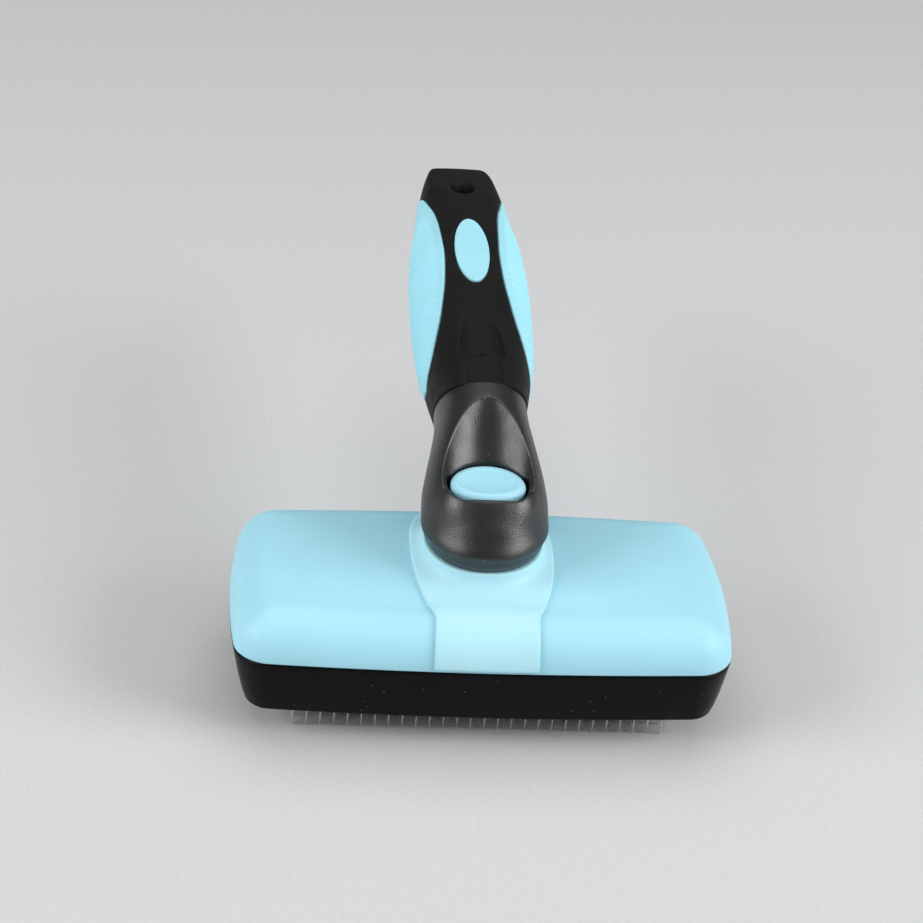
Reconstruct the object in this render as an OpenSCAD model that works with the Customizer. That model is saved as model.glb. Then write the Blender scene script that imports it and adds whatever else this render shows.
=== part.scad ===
// Self-cleaning slicker brush for pets.
// The origin is the centre of the whole brush's footprint, on the plane of the pin tips. +Z is up,
// the pins point down, and +Y runs from the head to the end of the handle. All sizes are in mm.

/* [Head] */
// Width of the head, side to side
head_w = 115; // [112:1:120]
// Depth of the head, front to back
head_d = 60; // [60:1:64]
// Corner radius of the head seen from above
head_corner_r = 7.1; // [6.5:0.1:8]
// How far the long edges bow outwards
long_edge_bow = 1.9; // [1.5:0.1:2.2]
// How far the short edges bow outwards
short_edge_bow = 2.4; // [1.5:0.1:3]
// Height of the line where the cover meets the base frame, above the pin tips
parting_z = 22; // [22:0.1:22.4]
// Height of the base frame
frame_h = 14.2; // [13.8:0.1:14.4]
// How much narrower the base frame is at its rim, each side
frame_taper = 2.4; // [2:0.1:2.6]
// Height of the cover's edge above the parting line
cover_h = 10.5; // [10.3:0.1:11]
// Radius of the cover's rounded upper edge
cover_edge_r = 9.3; // [8.5:0.1:9.5]
// How far the cover's top is crowned
cover_crown = 1.7; // [1.4:0.1:2]
// Wall of the moulded shells
wall = 2; // [1.8:0.1:2.2]

/* [Pins] */
// Pins across the head
pin_columns = 28; // [24:2:28]
// Rows of pins
pin_rows = 12; // [8:1:12]
// Distance between columns
pin_pitch_x = 3.13; // [2.8:0.01:3.13]
// Distance between rows
pin_pitch_y = 3.8; // [3.6:0.1:3.8]
// Thickness of the pin wire
wire = 0.45; // [0.35:0.01:0.5]
// How far a pin's bent tip stands behind its root
pin_bend = 1.4; // [1:0.1:1.5]
// Height of the bend above the tip
knee_z = 6.4; // [5.5:0.1:7]

/* [Cleaning action] */
// Travel of the button and the cleaning plate
travel = 8.5; // [6:0.1:8.5]
// Width of the button
button_w = 17.2; // [16:0.1:17.4]
// Length of the button, front to back
button_l = 13; // [12:0.1:13.2]
// Height of the button's top above the pin tips
button_top_z = 54; // [53.5:0.1:54.5]
// Radius of the plunger
rod_r = 3; // [2.6:0.1:3.2]
// Gap all round the plunger in its bush
running_gap = 0.05; // [0.02:0.01:0.08]

/* [Handle] */
// Distance from the head's centre to the handle's end
handle_end_y = 151.5; // [149:0.5:154]
// Height of the handle's middle line over the point 30 mm behind the head's centre
axis_z = 53.6; // [53.4:0.1:54]
// Rise of the handle's middle line, in degrees
axis_rise = 5; // [4.5:0.1:5.5]
// Radius of the hang hole
hang_r = 3; // [2.5:0.1:3.2]
// Thickness of the rubber
rubber = 2.6; // [2.4:0.1:2.8]

/* [Hidden] */
$fn = 48;

cyan = [0.55, 0.83, 0.90];
satin_black = [0.08, 0.08, 0.09];
rubber_black = [0.12, 0.12, 0.13];
steel = [0.72, 0.73, 0.75];
natural_white = [0.9, 0.9, 0.87];
dark_grey = [0.25, 0.25, 0.27];

// The collar's tongue stands proud of the head's front by this much.
collar_t = 1;
// The modules draw round the head's centre; this shift puts the origin at the middle of the whole footprint.
head_y = -(handle_end_y - head_d / 2 - collar_t) / 2;

cover_top_z = parting_z + cover_h;
crown_z = cover_top_z + cover_crown;
rim_z = parting_z - frame_h;

// Heights inside the head, from the pin tips up
plate_z = 8.7;
plate_t = 1.5;
cushion_z = 12.5;
cushion_t = 3;
board_z = cushion_z + cushion_t + wire + 0.05;
board_t = 2;
carrier_t = 2;
rib_h = 0.8;
// At the end of its travel the carrier stops just above the board.
carrier_z = board_z + board_t + rib_h + travel + 0.1;
carrier_top_z = carrier_z + carrier_t;

// Plan sizes inside the head
opening_inset = 4.3;
plate_inset = 4.8;
cushion_w = 89;
cushion_d = 45.4;
cushion_r = 4;
post_x = 48.6;
post_y = 8;
post_r = 1.7;
corner_screw_x = 48.6;
corner_screw_y = 19.5;
screw_places = [for (x = [-corner_screw_x, corner_screw_x])
    for (y = [-corner_screw_y, 0, corner_screw_y]) [x, y]];
post_places = [for (x = [-post_x, post_x]) for (y = [-post_y, post_y]) [x, y]];
screw_r = 1.2;
pilot_r = 1.05;
screw_head_r = 2.3;
screw_head_h = 1.4;

// The neck's foot and its screws
foot_z = 38.2;
neck_screw_places = [[-8.6, 11], [8.6, 11], [0, -10.8]];
well_gap = 0.35;
button_h = 6;
spring_pocket = 4;
spring_r = 4.6;
spring_wire = 0.8;
spring_turns = 5;
guide_flange_t = 1.2;
guide_flange_r = 6.6;
guide_r = 4.6;
guide_z = 30;
// Flat seats for the neck screws' heads in the cover's ceiling
neck_seat_z = cover_top_z - wall + 1.2;
neck_screw_l = 12.5;
neck_screw_head_r = 2;

// ---------- helpers ----------

// Smooth curve through [position, value] pairs (Catmull-Rom), constant past the ends.
function knot(t, i) = t[max(0, min(len(t) - 1, i))];
function slope(t, i) = (knot(t, i + 1)[1] - knot(t, i - 1)[1]) / (knot(t, i + 1)[0] - knot(t, i - 1)[0]);
function span(t, x) = len([for (k = t) if (k[0] <= x) k]) - 1;
function hermite(a, b, ma, mb, u, h) =
    a * (2 * u ^ 3 - 3 * u ^ 2 + 1) + b * (3 * u ^ 2 - 2 * u ^ 3) + h * ma * (u ^ 3 - 2 * u ^ 2 + u)
    + h * mb * (u ^ 3 - u ^ 2);
function through(t, x) =
    x <= t[0][0] ? t[0][1] :
    x >= t[len(t) - 1][0] ? t[len(t) - 1][1] :
    let (i = span(t, x), h = t[i + 1][0] - t[i][0])
    hermite(t[i][1], t[i + 1][1], slope(t, i), slope(t, i + 1), (x - t[i][0]) / h, h);

// A power that keeps the sign, for superellipses.
function spow(v, p) = sign(v) * pow(abs(v), p);

// Solid through rings of points. Rings run anticlockwise seen from the last ring's side.
module loft(rings) {
    n = len(rings[0]);
    m = len(rings);
    sides = [for (k = [0:m - 2]) for (j = [0:n - 1])
        let (a = k * n + j, b = k * n + (j + 1) % n)
        each [[a, a + n, b + n], [a, b + n, b]]];
    bottom = [for (j = [0:n - 1]) j];
    top = [for (j = [n - 1:-1:0]) (m - 1) * n + j];
    polyhedron([for (r = rings) each r], concat([bottom], sides, [top]));
}

// Shell between an outer and an inner set of rings. Both sets start at the open rim and end in a cap.
module cup(outer, inner) {
    n = len(outer[0]);
    mo = len(outer);
    mi = len(inner);
    off = mo * n;
    outer_sides = [for (k = [0:mo - 2]) for (j = [0:n - 1])
        let (a = k * n + j, b = k * n + (j + 1) % n)
        each [[a, a + n, b + n], [a, b + n, b]]];
    inner_sides = [for (k = [0:mi - 2]) for (j = [0:n - 1])
        let (a = off + k * n + j, b = off + k * n + (j + 1) % n)
        each [[a, b + n, a + n], [a, b, b + n]]];
    rim = [for (j = [0:n - 1])
        let (a = j, b = (j + 1) % n)
        each [[a, b, off + b], [a, off + b, off + a]]];
    top = [for (j = [n - 1:-1:0]) (mo - 1) * n + j];
    ceiling = [for (j = [0:n - 1]) off + (mi - 1) * n + j];
    polyhedron(concat([for (r = outer) each r], [for (r = inner) each r]),
        concat(rim, outer_sides, inner_sides, [top, ceiling]));
}

// Ring-shaped solid: the rings go once round the section and back to the first.
module ring_solid(rings) {
    n = len(rings[0]);
    m = len(rings);
    sides = [for (k = [0:m - 1]) for (j = [0:n - 1])
        let (a = k * n + j, b = k * n + (j + 1) % n,
            c = ((k + 1) % m) * n + (j + 1) % n, d = ((k + 1) % m) * n + j)
        each [[a, d, c], [a, c, b]]];
    polyhedron([for (r = rings) each r], sides);
}

// Thick patch between two grids of points with the same rows and columns.
module slab(over, under) {
    rows = len(over);
    cols = len(over[0]);
    off = rows * cols;
    function at(i, j) = i * cols + j;
    top = [for (i = [0:rows - 2]) for (j = [0:cols - 2])
        each [[at(i, j), at(i + 1, j + 1), at(i, j + 1)], [at(i, j), at(i + 1, j), at(i + 1, j + 1)]]];
    bottom = [for (f = top) [off + f[0], off + f[2], off + f[1]]];
    ends = [for (j = [0:cols - 2])
        let (a = at(0, j), b = at(0, j + 1), c = at(rows - 1, j), d = at(rows - 1, j + 1))
        each [[a, b, off + b], [a, off + b, off + a], [c, off + d, d], [c, off + c, off + d]]];
    sides = [for (i = [0:rows - 2])
        let (a = at(i, 0), b = at(i + 1, 0), c = at(i, cols - 1), d = at(i + 1, cols - 1))
        each [[a, off + b, b], [a, off + a, off + b], [c, d, off + d], [c, off + d, off + c]]];
    polyhedron(concat([for (r = over) each r], [for (r = under) each r]), concat(top, bottom, ends, sides));
}

// Drawn round the head's centre, then moved to the brush's own origin.
module placed() {
    translate([0, head_y, 0]) children();
}

// Cylinders at a list of plan positions.
module pegs(places, z, h, r) {
    for (p = places) translate([p[0], p[1], z]) cylinder(h = h, r = r);
}

// Flat rounded rectangle with a real radius at each corner.
module rounded_plate(w, d, r) {
    square([w - 2 * r, d], center = true);
    square([w, d - 2 * r], center = true);
    for (x = [-1, 1]) for (y = [-1, 1]) translate([x * (w / 2 - r), y * (d / 2 - r)]) circle(r = r);
}

// ---------- the head's outline ----------

corner_steps = 5;
edge_steps = 6;

// Half sizes of the straight-edged rectangle inside the bowed outline
function half_w(inset) = head_w / 2 - short_edge_bow - inset;
function half_d(inset) = head_d / 2 - long_edge_bow - inset;
function corner_centre(q, a, b, r) = [(q == 0 || q == 3 ? 1 : -1) * (a - r), (q < 2 ? 1 : -1) * (b - r)];
function bowed(p, a, b) = [
    p[0] + short_edge_bow * max(0, 1 - (p[1] / b) ^ 2) * p[0] / a,
    p[1] + long_edge_bow * max(0, 1 - (p[0] / a) ^ 2) * p[1] / b];
function on_corner(c, r, angle) = [c[0] + r * cos(angle), c[1] + r * sin(angle)];

// Bowed rounded rectangle, anticlockwise seen from above
function head_outline(inset) =
    let (a = half_w(inset), b = half_d(inset), r = max(1.2, head_corner_r - inset))
    [for (q = [0:3])
        let (c = corner_centre(q, a, b, r), d = corner_centre((q + 1) % 4, a, b, r),
            last = on_corner(c, r, 90 * (q + 1)), next = on_corner(d, r, 90 * (q + 1)))
        each concat(
            [for (i = [0:corner_steps]) bowed(on_corner(c, r, 90 * (q + i / corner_steps)), a, b)],
            [for (i = [1:edge_steps - 1]) bowed(last + (next - last) * i / edge_steps, a, b)])];

function head_ring(inset, z) = [for (p = head_outline(inset)) [p[0], p[1], z]];
function scaled_ring(inset, s, z) = [for (p = head_outline(inset)) [p[0] * s, p[1] * s, z]];

// Rings of the cover's surface, moved inwards by t (outwards when t is negative)
edge_angles = [0, 18, 36, 54, 72, 90];
crown_scales = [0.75, 0.45, 0.12];
function cover_rings(t, floor_z) =
    let (r = cover_edge_r - t, z0 = cover_top_z - cover_edge_r)
    concat(
        [head_ring(t, floor_z)],
        [for (a = edge_angles) head_ring(t + r * (1 - cos(a)), z0 + r * sin(a))],
        [for (s = crown_scales) scaled_ring(cover_edge_r, s, cover_top_z - t + cover_crown * (1 - s ^ 2))]);

// ---------- the handle's surface ----------

// [distance from the head's centre, half width]
half_widths = [[33, 11.4], [44, 12.7], [58, 13.8], [72, 14.4], [87, 14.5], [100, 14.1], [113, 13.1],
    [126, 12], [140, 10.2], [149, 8.3], [handle_end_y, 7.2]];
// [distance from the head's centre, height of the upper side over the middle line]
upper_heights = [[33, 14], [60, 14.1], [87, 14], [100, 13.2], [112, 11.8], [120, 10.9], [136, 9.8],
    [149, 8.1], [handle_end_y, 7.4]];
// [distance from the head's centre, depth of the underside below the middle line]
lower_heights = [[33, 14], [60, 13], [87, 13.4], [108, 11.6], [122, 8.4], [134, 5.8], [149, 3.9],
    [handle_end_y, 3.2]];
// The front end is cut on a slant: [distance, shift forwards for each mm above the middle line]
front_slants = [[33, 0.73], [45, 0.45], [60, 0], [handle_end_y, 0]];
section_power = 2 / 2.3;
section_steps = 40;

function mid_z(y) = axis_z + (y - 30) * tan(axis_rise);

// Point of the handle's surface at station y and angle a round the section, moved inwards by t
function grip_point(y, a, t) =
    let (c = spow(cos(a), section_power), s = spow(sin(a), section_power),
        x = (through(half_widths, y) - t) * c,
        up = (s > 0 ? through(upper_heights, y) - t : through(lower_heights, y) - t) * s)
    [x, y - up * through(front_slants, y), mid_z(y) + up];
function grip_ring(y, t) = [for (i = [0:section_steps - 1]) grip_point(y, -360 * i / section_steps, t)];
module grip_body(stations, t) {
    loft([for (y = stations) grip_ring(y, t)]);
}

core_front_y = 50;
core_end_y = 121;
hang_y = 130;
facet_front = [121, 72.4];
facet_end_z = 67;
outer_stations = [33, 38, 44, 51, 58, 67, 77, 87, 97, 106, 114, 121, 128, 135, 142, 148, handle_end_y - 0.8];

// ---------- the handle's soft parts ----------

pad_front_y = 42.3;
pad_end_y = 132.6;
// Leaf outline: [distance from the head's centre, half angle round the handle's section]
pad_half_angles = [[pad_front_y, 4], [45, 20.5], [48.5, 33.5], [56, 49], [63, 56], [72, 61.5], [84, 64],
    [92, 63], [104, 58.8], [113, 52.5], [120, 43.5], [127, 30.5], [131, 17], [pad_end_y, 4]];
pad_depth = 1.7;
pad_proud = 0.25;
pad_gap = 0.15;
pad_floor_gap = 0.1;
pad_shrink = 0.06;
pad_rows = 24;
pad_cols = 8;
function pad_half_angle(y) = through(pad_half_angles, y);
function pad_y(i, grow) =
    let (u = i / pad_rows, lo = pad_front_y - grow, hi = pad_end_y + grow)
    lo + (hi - lo) * (1 - cos(180 * u)) / 2;
function pad_grid(t, grow) = [for (i = [0:pad_rows])
    let (y = pad_y(i, grow), half = pad_half_angle(y) + grow * 4)
    [for (j = [0:pad_cols]) grip_point(y, half * (1 - 2 * j / pad_cols), t)]];

module pad_body(over, under, grow) {
    slab(pad_grid(over, grow), pad_grid(under, grow));
}

badge_y = 87.4;
badge_l = 34;
badge_w = 8.7;
badge_t = 1.5;
module badge_disc(grow, z, h) {
    translate([0, badge_y, z])
    rotate([axis_rise / 2, 0, 0])
    linear_extrude(h)
    polygon([for (a = [0:7.5:352.5]) [(badge_w / 2 + grow) * cos(a), (badge_l / 2 + grow) * sin(a)]]);
}
badge_top_z = mid_z(badge_y) + 13.75;

recess_y = 36;
recess_depth = 1.7;
// D-shaped outline of the recess: [distance from its straight front edge, half width]
recess_widths = [[0, 5.5], [5, 5], [10, 4.4], [14, 3.5], [16.8, 2], [18, 0.4]];
module recess_cut() {
    last = len(recess_widths) - 1;
    translate([0, recess_y, mid_z(recess_y) + through(upper_heights, recess_y) - recess_depth])
    rotate([axis_rise, 0, 0])
    linear_extrude(12)
    polygon(concat(
        [for (w = recess_widths) [w[1], w[0]]],
        [for (i = [last:-1:0]) [-recess_widths[i][1], recess_widths[i][0]]]));
}

facet_slope = (facet_end_z - facet_front[1]) / (handle_end_y - facet_front[0]);
// Everything above the sloping facet round the hang hole
module facet_cut() {
    multmatrix([[1, 0, 0, 0], [0, 1, 0, 0], [0, facet_slope, 1, 0], [0, 0, 0, 1]])
    translate([-20, facet_front[0] - 10, facet_front[1] - facet_front[0] * facet_slope])
    cube([40, 60, 20]);
}

// Keeps a moulded body as one surface, at its own size. True bores are cut from it afterwards.
module one_mesh() {
    resize([0, 0, 0]) children();
}

module sleeve_body() {
    difference() {
        loft(concat([for (y = outer_stations) grip_ring(y, 0)], [grip_ring(handle_end_y, 0.8)]));
        grip_body([20, 33, 38, 44, 51, 58, 67, 77, 87, 97, 106, 114, core_end_y + 0.3], rubber);
        facet_cut();
        badge_disc(0.1, badge_top_z - badge_t - 0.05, 8);
        recess_cut();
        pad_body(-3, pad_depth + pad_floor_gap, pad_gap);
        mirror([1, 0, 0]) pad_body(-3, pad_depth + pad_floor_gap, pad_gap);
    }
}

module grip_sleeve() color(rubber_black) placed() difference() {
    one_mesh() sleeve_body();
    translate([0, hang_y, 40]) cylinder(h = 40, r = hang_r);
    // Access to the handle screws
    for (x = [-handle_screw_x, handle_screw_x])
        translate([x, handle_screw_y, 36]) cylinder(h = handle_screw_z() - 35.9, r = screw_head_r + 0.2);
}

module grip_pad() pad_body(-pad_proud, pad_depth - pad_floor_gap / 2, -pad_shrink);
module right_grip_pad() color(cyan) placed() grip_pad();
module left_grip_pad() color(cyan) placed() mirror([1, 0, 0]) grip_pad();
module handle_badge() color(cyan) placed() badge_disc(0, badge_top_z - badge_t, badge_t);

// ---------- the handle's core ----------

core_gap = 0.05;
spigot_t = rubber + 2.6;
core_stations = [core_front_y, 58, 67, 77, 87, 97, 106, 114, core_end_y];
handle_screw_x = 5;
handle_screw_y = 46.8;
handle_screw_l = 9;
function handle_screw_z() = mid_z(handle_screw_y) - through(lower_heights, handle_screw_y) + rubber + 0.9;

module handle_core() color(dark_grey) placed() difference() {
    union() {
        grip_body(core_stations, rubber + core_gap);
        grip_body([34.5, 39, 44, core_front_y + 1], spigot_t + core_gap);
    }
    grip_body([56, 67, 77, 87, 97, 106, 114, core_end_y - wall], rubber + 2.4);
    for (x = [-handle_screw_x, handle_screw_x])
        translate([x, handle_screw_y, 40])
            cylinder(h = handle_screw_z() - 40 + handle_screw_l + 0.4, r = pilot_r);
}

// ---------- the neck ----------

// [middle y, middle z, tilt, half width, half length], from the foot up to the handle
neck_sections = [
    [2.6, foot_z, 0, 13.2, 16.1],
    [2.5, 40.8, 2, 14.1, 16.9],
    [4.8, 45.6, 14, 14.5, 16.4],
    [9.8, 49.6, 28, 13.6, 16.3],
    [17.5, 52.2, 41, 12.2, 16.6],
    [25.5, 53.4, 50, 11, 16.9],
    [32.9, 53.9, 53.9, 10.5, 17.1]];
neck_steps = 40;
neck_power = 2 / 2.15;
// Ring of one section; half sizes shrink by t
function neck_ring(s, t) = [for (i = [0:neck_steps - 1])
    let (a = 360 * i / neck_steps, x = (s[3] - t) * spow(cos(a), neck_power),
        v = (s[4] - t) * spow(sin(a), neck_power))
    [x, s[0] + v * cos(s[2]), s[1] - v * sin(s[2])]];
function mix(a, b, u) = a + (b - a) * u;
// Extra rings between the sections, on a smooth curve through them
function neck_value(u, k) = through([for (i = [0:len(neck_sections) - 1]) [i, neck_sections[i][k]]], u);
function neck_section(u) = [for (k = [0:4]) neck_value(u, k)];
neck_stations = [0, 0.9, 1, 1.5, 2, 2.5, 3, 3.5, 4, 4.5, 5, 5.5, 6];

// The thumb scoop runs between these distances from the button's centre.
scoop_front_y = -7.4;
scoop_back_y = 17.2;
// Plan outline of the scoop: [distance from the button's centre, half width]
scoop_widths = [[scoop_front_y, 6.4], [-6.6, 8], [-4.5, 9.6], [-1, 10.3], [3, 10.2], [8, 8.7], [13, 5.9],
    [16, 2.9], [scoop_back_y, 0.8]];
// Height of the scoop's floor along its middle
scoop_floor = [[scoop_front_y, 51.2], [3, 51.3], [7, 52.8], [10, 56.2], [13, 60.6], [scoop_back_y, 66.8]];
// Height up to which the scoop is open
scoop_open_z = 80;
scoop_side_rise = 1.4;
scoop_rows = 16;
scoop_cols = 6;
function scoop_y(i) = mix(scoop_front_y, scoop_back_y, i / scoop_rows);
function scoop_grid(open) = [for (i = [0:scoop_rows])
    let (y = scoop_y(i), w = through(scoop_widths, y))
    [for (j = [0:scoop_cols])
        let (s = 2 * j / scoop_cols - 1)
        [w * s, y, open ? scoop_open_z : through(scoop_floor, y) + scoop_side_rise * s ^ 2]]];

module oval(w, l) {
    polygon([for (a = [0:7.5:352.5]) [w / 2 * cos(a), l / 2 * sin(a)]]);
}

neck_tail_stations = [30, 33, 38, 44, core_front_y - 0.3];

module neck_body() {
    difference() {
        union() {
            loft([for (u = neck_stations) neck_ring(neck_section(u), 0)]);
            grip_body(neck_tail_stations, rubber + core_gap);
        }
        grip_body([34, 39, 44, core_front_y + 4], spigot_t);
        slab(scoop_grid(true), scoop_grid(false));
        translate([0, 0, foot_z - 1])
        linear_extrude(30)
        oval(button_w + 2 * well_gap, button_l + 2 * well_gap);
    }
}

module neck_shell() color(satin_black) placed() difference() {
    one_mesh() neck_body();
    pegs(neck_screw_places, foot_z - 1, 9, pilot_r);
    for (x = [-handle_screw_x, handle_screw_x]) {
        translate([x, handle_screw_y, 36]) cylinder(h = 15, r = screw_r + 0.15);
        translate([x, handle_screw_y, 36]) cylinder(h = handle_screw_z() - 36, r = screw_head_r + 0.2);
    }
}

// ---------- the collar ----------

// Half of the collar's plan outline, from the tongue round to the back
collar_side = [[11.8, -34], [11.8, -24.5], [12.1, -22.4], [13.2, -19.3], [14.6, -15], [15.8, -9], [16.4, -2],
    [16.6, 5], [16.2, 13], [14.4, 20], [10.6, 25], [5.6, 27.6]];
collar_outline = concat(collar_side,
    [for (i = [len(collar_side) - 1:-1:0]) [-collar_side[i][0], collar_side[i][1]]]);
collar_gap = 0.03;
tongue_z = parting_z + 0.9;
guide_hole_r = guide_flange_r + 0.1;
// Rings of the mound that carries the neck: [height, growth beyond the neck's foot]
mound_profile = [[32.6, 4.2], [34.6, 3], [35.6, 1.6], [36.8, 0.7], [foot_z - 0.02, 0.35]];

module neck_collar() color(cyan) placed() difference() {
    union() {
        intersection() {
            loft(cover_rings(-collar_t, tongue_z));
            linear_extrude(50) polygon(collar_outline);
        }
        intersection() {
            loft([for (m = mound_profile)
                [for (p = neck_ring(neck_sections[0], -m[1])) [p[0], p[1], m[0]]]]);
            linear_extrude(50) polygon(collar_outline);
        }
    }
    loft(cover_rings(-collar_gap, parting_z - 2));
    translate([0, 0, 30]) cylinder(h = 12, r = guide_hole_r);
    translate([0, 0, crown_z + 1.5])
        linear_extrude(10)
        oval(button_w + 2 * well_gap, button_l + 2 * well_gap);
    pegs(neck_screw_places, 30, 12, screw_r + 0.15);
}

// ---------- the head ----------

boss_r = 2.6;
screw_l = 9;

module top_cover() color(cyan) placed() difference() {
    union() {
        cup(cover_rings(0, parting_z), cover_rings(wall, parting_z));
        intersection() {
            pegs(screw_places, board_z + board_t + 0.05, 14, boss_r);
            loft(cover_rings(wall / 2, parting_z - 6));
        }
    }
    pegs(screw_places, parting_z - 6, screw_l + 1.5, pilot_r);
    translate([0, 0, 25]) cylinder(h = 15, r = guide_r + 0.02);
    pegs(neck_screw_places, 25, 15, screw_r + 0.15);
    pegs(neck_screw_places, neck_seat_z - 3, 3, neck_screw_head_r + 0.3);
}

shelf_z = board_z - 2;
shelf_top_z = board_z - 0.03;
// Section of the frame's wall as [inset, height], once round from the outer rim up and back down inside
frame_wall = [[frame_taper + 0.9, rim_z], [frame_taper + 0.25, rim_z + 0.35], [frame_taper, rim_z + 1.2],
    [frame_taper / 2, (rim_z + parting_z) / 2], [0, parting_z - 0.02], [wall, parting_z - 0.02],
    [opening_inset - 1.6, shelf_z - 1], [opening_inset, shelf_z - 2], [opening_inset, rim_z + 0.5],
    [opening_inset - 0.5, rim_z]];

module base_frame() color(satin_black) placed() difference() {
    union() {
        ring_solid([for (s = frame_wall) head_ring(s[0], s[1])]);
        translate([0, 0, shelf_z])
        linear_extrude(shelf_top_z - shelf_z)
        difference() {
            polygon(head_outline(wall));
            rounded_plate(cushion_w + 0.6, cushion_d + 0.6, cushion_r);
        }
    }
    pegs(screw_places, shelf_z - 2, 6, screw_r + 0.15);
    pegs(post_places, shelf_z - 2, 6, post_r + 0.3);
}

module pin_board() color(dark_grey) placed()
    translate([0, 0, board_z])
    linear_extrude(board_t)
    difference() {
        polygon(head_outline(wall + 0.9));
        for (p = screw_places) translate(p) circle(r = screw_r + 0.15);
        for (p = post_places) translate(p) circle(r = post_r + 0.3);
    }

module cushion_pad() color(rubber_black) placed()
    translate([0, 0, cushion_z])
    linear_extrude(cushion_t)
    rounded_plate(cushion_w, cushion_d, cushion_r);

// ---------- the pins ----------

function column_x(i) = (i - (pin_columns - 1) / 2) * pin_pitch_x;
function row_y(j) = (j - (pin_rows - 1) / 2) * pin_pitch_y;
crown_top_z = cushion_z + cushion_t + wire;

// One leg in side view: straight through the cushion, then bent back below the knee
module pin_leg() {
    rotate([90, 0, 90])
    translate([0, 0, -wire / 2])
    linear_extrude(wire)
    polygon([[-wire / 2, crown_top_z], [-wire / 2, knee_z], [pin_bend - wire / 4, 0],
        [pin_bend + wire / 4, 0], [wire / 2, knee_z + 0.1], [wire / 2, crown_top_z]]);
}

// Two legs bent from one wire, joined by a crown behind the cushion
module staple() {
    pin_leg();
    translate([pin_pitch_x, 0, 0]) pin_leg();
    translate([0, -wire / 2, crown_top_z - wire]) cube([pin_pitch_x, wire, wire]);
}

module bristle_pins() color(steel) placed()
    for (i = [0:2:pin_columns - 2]) for (j = [0:pin_rows - 1])
        translate([column_x(i), row_y(j), 0]) staple();

// ---------- the cleaning action ----------

slot_w = 1.1;
slot_l = pin_bend + 1.2;
plate_screw_l = 7;
carrier_screw_r = 0.78;

module cleaning_plate() color(satin_black) placed() difference() {
    union() {
        translate([0, 0, plate_z])
        linear_extrude(plate_t)
        difference() {
            polygon(head_outline(plate_inset));
            for (i = [0:pin_columns - 1]) for (j = [0:pin_rows - 1])
                translate([column_x(i) - slot_w / 2, row_y(j) + (pin_bend - slot_l) / 2])
                    square([slot_w, slot_l]);
            for (p = screw_places) translate(p) circle(r = screw_head_r + 0.4);
        }
        pegs(post_places, plate_z + plate_t - 0.5, carrier_z - plate_z - plate_t + 0.5, post_r);
    }
    pegs(post_places, carrier_z - plate_screw_l, plate_screw_l + 1, carrier_screw_r + 0.02);
}

carrier_arm = 8;
hub_r = 8;
carrier_pad_r = 2.5;
// The end bars reach this far inwards, round the middle screws' bosses.
end_bar_inner = 7;
module carrier() color(natural_white) placed() difference() {
    union() {
        translate([0, 0, carrier_z - rib_h]) cylinder(h = carrier_t + rib_h, r = hub_r);
        translate([-post_x, -carrier_arm / 2, carrier_z]) cube([2 * post_x, carrier_arm, carrier_t]);
        translate([-post_x, -0.8, carrier_z - rib_h]) cube([2 * post_x, 1.6, rib_h + 1]);
        for (side = [-1, 1]) {
            translate([side * (post_x - end_bar_inner / 2), 0, carrier_z + carrier_t / 2])
                cube([end_bar_inner, 2 * post_y, carrier_t], center = true);
            translate([side * post_x, 0, carrier_z + carrier_t / 2])
                cube([2 * carrier_pad_r, 2 * post_y, carrier_t], center = true);
        }
        pegs(post_places, carrier_z, carrier_t, carrier_pad_r);
    }
    pegs(post_places, carrier_z - 1, carrier_t + 2, 1.05);
    translate([0, 0, carrier_z - rib_h - 1]) cylinder(h = rib_h + carrier_t + 2, r = screw_r + 0.15);
    // Recess for the plunger screw's head
    translate([0, 0, carrier_z - rib_h - 1])
        cylinder(h = rod_screw_seat_z - carrier_z + rib_h + 1, r = screw_head_r + 0.2);
    // Recesses for the post screws' heads
    pegs(post_places, carrier_screw_seat_z, 2, carrier_screw_head_r + 0.2);
    // Clearance for the middle screws' bosses
    for (x = [-corner_screw_x, corner_screw_x])
        translate([x, 0, carrier_z - rib_h - 1]) cylinder(h = rib_h + carrier_t + 2, r = boss_r + 0.5);
}
rod_screw_seat_z = carrier_z - rib_h + screw_head_h + 0.1;
carrier_screw_head_r = 1.7;
carrier_screw_head_h = 0.9;
carrier_screw_seat_z = carrier_top_z - carrier_screw_head_h - 0.05;

button_z = button_top_z - button_h;
rod_top_z = button_z + 4.4;
module push_rod() color(natural_white) placed() difference() {
    translate([0, 0, carrier_top_z]) cylinder(h = rod_top_z - carrier_top_z, r = rod_r);
    translate([0, 0, carrier_top_z - 1]) cylinder(h = 10, r = pilot_r);
}

module plunger_guide() color(natural_white) placed() difference() {
    union() {
        translate([0, 0, guide_z]) cylinder(h = crown_z - guide_z + 0.5, r = guide_r);
        translate([0, 0, crown_z + 0.05]) cylinder(h = guide_flange_t, r = guide_flange_r);
    }
    translate([0, 0, guide_z - 1]) cylinder(h = 12, r = rod_r + running_gap);
}

// Oval cap: chamfered edge, shallow dish, a pocket for the spring and a socket for the plunger
chamfer = 1.3;
dish_r = 60;
dish_depth = 0.35;
module button() color(cyan) placed() difference() {
    translate([0, 0, button_z]) {
        linear_extrude(button_h - chamfer) oval(button_w, button_l);
        hull() {
            translate([0, 0, button_h - chamfer - 0.01]) linear_extrude(0.01) oval(button_w, button_l);
            translate([0, 0, button_h - 0.01])
            linear_extrude(0.01)
            oval(button_w - 2 * chamfer, button_l - 2 * chamfer);
        }
    }
    translate([0, 0, button_top_z + dish_r - dish_depth]) sphere(r = dish_r);
    difference() {
        translate([0, 0, button_z - 1]) cylinder(h = 1 + spring_pocket, r = spring_r + 0.9);
        translate([0, 0, button_z]) cylinder(h = button_h, r = spring_r - 0.9);
    }
    translate([0, 0, button_z - 1]) cylinder(h = rod_top_z - button_z + 1, r = rod_r + 0.02);
}

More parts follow.
